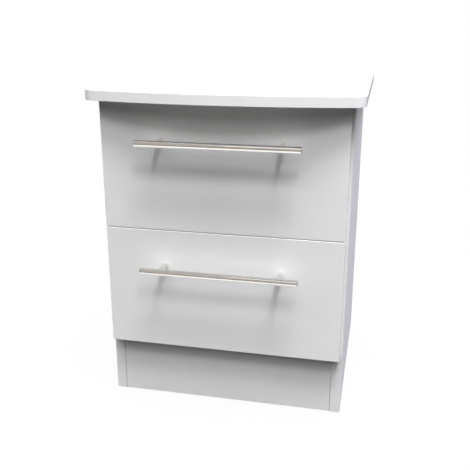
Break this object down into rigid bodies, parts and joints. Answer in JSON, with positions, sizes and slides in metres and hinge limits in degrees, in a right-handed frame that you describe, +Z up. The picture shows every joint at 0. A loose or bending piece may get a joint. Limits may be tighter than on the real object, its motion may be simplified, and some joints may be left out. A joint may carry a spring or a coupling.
{
  "type": "nightstand",
  "caption": "White bedside cabinet with drawers on roller runners, steel bar handles, a plinth and a bow-fronted top with round corners.",
  "frame": {"origin": "on the floor, under the middle of the whole object's box with the drawers closed", "axes": "+Z up; the drawers open towards -Y; +X to the right seen from the front"},
  "size_m": [0.405, 0.417, 0.504],
  "materials": {
    "gloss_white_board": "high-gloss white vinyl wrapped round fibreboard",
    "white_board": "satin white melamine-faced chipboard with edging",
    "drawer_board": "matt white foil on fibreboard",
    "hardboard": "white-lacquered hardboard",
    "brushed_nickel": "fine brushed nickel",
    "epoxy_steel": "white epoxy powder coat on pressed steel",
    "zinc_steel": "bright zinc plate",
    "nylon": "natural nylon",
    "white_plastic": "moulded white plastic",
    "clear_rubber": "clear self-adhesive bumper"
  },
  "bodies": {
    "cabinet": {"top_panel": "gloss_white_board", "side_panel_right": "white_board", "side_panel_left": "white_board", "back_panel": "hardboard", "base_panel": "white_board", "plinth_panel": "white_board", "front_top_rail": "white_board", "rear_top_rail": "white_board", "glide_front_right": "white_plastic", "glide_front_left": "white_plastic", "glide_rear_right": "white_plastic", "glide_rear_left": "white_plastic", "lower_cabinet_runner_right": "epoxy_steel", "lower_cabinet_runner_left": "epoxy_steel", "upper_cabinet_runner_right": "epoxy_steel", "upper_cabinet_runner_left": "epoxy_steel"},
    "lower_drawer": {"lower_drawer_front": "gloss_white_board", "lower_drawer_side_right": "drawer_board", "lower_drawer_side_left": "drawer_board", "lower_drawer_back": "drawer_board", "lower_drawer_base": "hardboard", "lower_handle_bar": "brushed_nickel", "lower_drawer_runner_right": "epoxy_steel", "lower_handle_post_right": "brushed_nickel", "lower_handle_screw_right": "zinc_steel", "lower_cam_lock_right": "zinc_steel", "lower_cam_dowel_right": "zinc_steel", "lower_bumper_right": "clear_rubber", "lower_drawer_runner_left": "epoxy_steel", "lower_handle_post_left": "brushed_nickel", "lower_handle_screw_left": "zinc_steel", "lower_cam_lock_left": "zinc_steel", "lower_cam_dowel_left": "zinc_steel", "lower_bumper_left": "clear_rubber"},
    "lower_cabinet_roller_right": {"lower_cabinet_roller_right": "nylon"},
    "lower_drawer_roller_right": {"lower_drawer_roller_right": "nylon"},
    "lower_cabinet_roller_left": {"lower_cabinet_roller_left": "nylon"},
    "lower_drawer_roller_left": {"lower_drawer_roller_left": "nylon"},
    "upper_drawer": {"upper_drawer_front": "gloss_white_board", "upper_drawer_side_right": "drawer_board", "upper_drawer_side_left": "drawer_board", "upper_drawer_back": "drawer_board", "upper_drawer_base": "hardboard", "upper_handle_bar": "brushed_nickel", "upper_drawer_runner_right": "epoxy_steel", "upper_handle_post_right": "brushed_nickel", "upper_handle_screw_right": "zinc_steel", "upper_cam_lock_right": "zinc_steel", "upper_cam_dowel_right": "zinc_steel", "upper_bumper_right": "clear_rubber", "upper_drawer_runner_left": "epoxy_steel", "upper_handle_post_left": "brushed_nickel", "upper_handle_screw_left": "zinc_steel", "upper_cam_lock_left": "zinc_steel", "upper_cam_dowel_left": "zinc_steel", "upper_bumper_left": "clear_rubber"},
    "upper_cabinet_roller_right": {"upper_cabinet_roller_right": "nylon"},
    "upper_drawer_roller_right": {"upper_drawer_roller_right": "nylon"},
    "upper_cabinet_roller_left": {"upper_cabinet_roller_left": "nylon"},
    "upper_drawer_roller_left": {"upper_drawer_roller_left": "nylon"}
  },
  "joints": [
    {"name": "lower_drawer_slide", "type": "slide", "parent": "cabinet", "child": "lower_drawer", "axis": [0, -1, 0], "range_m": [0, 0.23]},
    {"name": "lower_cabinet_roller_right_spin", "type": "hinge", "parent": "cabinet", "child": "lower_cabinet_roller_right", "pos_m": [0.165, -0.141, 0.1429], "axis": [1, 0, 0], "continuous": true},
    {"name": "lower_drawer_roller_right_spin", "type": "hinge", "parent": "lower_drawer", "child": "lower_drawer_roller_right", "pos_m": [0.165, 0.13375, 0.14485], "axis": [1, 0, 0], "continuous": true},
    {"name": "lower_cabinet_roller_left_spin", "type": "hinge", "parent": "cabinet", "child": "lower_cabinet_roller_left", "pos_m": [-0.165, -0.141, 0.1429], "axis": [1, 0, 0], "continuous": true},
    {"name": "lower_drawer_roller_left_spin", "type": "hinge", "parent": "lower_drawer", "child": "lower_drawer_roller_left", "pos_m": [-0.165, 0.13375, 0.14485], "axis": [1, 0, 0], "continuous": true},
    {"name": "upper_drawer_slide", "type": "slide", "parent": "cabinet", "child": "upper_drawer", "axis": [0, -1, 0], "range_m": [0, 0.23]},
    {"name": "upper_cabinet_roller_right_spin", "type": "hinge", "parent": "cabinet", "child": "upper_cabinet_roller_right", "pos_m": [0.165, -0.141, 0.3374], "axis": [1, 0, 0], "continuous": true},
    {"name": "upper_drawer_roller_right_spin", "type": "hinge", "parent": "upper_drawer", "child": "upper_drawer_roller_right", "pos_m": [0.165, 0.13375, 0.33935], "axis": [1, 0, 0], "continuous": true},
    {"name": "upper_cabinet_roller_left_spin", "type": "hinge", "parent": "cabinet", "child": "upper_cabinet_roller_left", "pos_m": [-0.165, -0.141, 0.3374], "axis": [1, 0, 0], "continuous": true},
    {"name": "upper_drawer_roller_left_spin", "type": "hinge", "parent": "upper_drawer", "child": "upper_drawer_roller_left", "pos_m": [-0.165, 0.13375, 0.33935], "axis": [1, 0, 0], "continuous": true}
  ],
  "couplings": [
    {"joint": "lower_cabinet_roller_right_spin", "follows": "lower_drawer_slide", "rad_per_m": 117.65},
    {"joint": "lower_drawer_roller_right_spin", "follows": "lower_drawer_slide", "rad_per_m": 117.65},
    {"joint": "lower_cabinet_roller_left_spin", "follows": "lower_drawer_slide", "rad_per_m": 117.65},
    {"joint": "lower_drawer_roller_left_spin", "follows": "lower_drawer_slide", "rad_per_m": 117.65},
    {"joint": "upper_cabinet_roller_right_spin", "follows": "upper_drawer_slide", "rad_per_m": 117.65},
    {"joint": "upper_drawer_roller_right_spin", "follows": "upper_drawer_slide", "rad_per_m": 117.65},
    {"joint": "upper_cabinet_roller_left_spin", "follows": "upper_drawer_slide", "rad_per_m": 117.65},
    {"joint": "upper_drawer_roller_left_spin", "follows": "upper_drawer_slide", "rad_per_m": 117.65}
  ]
}
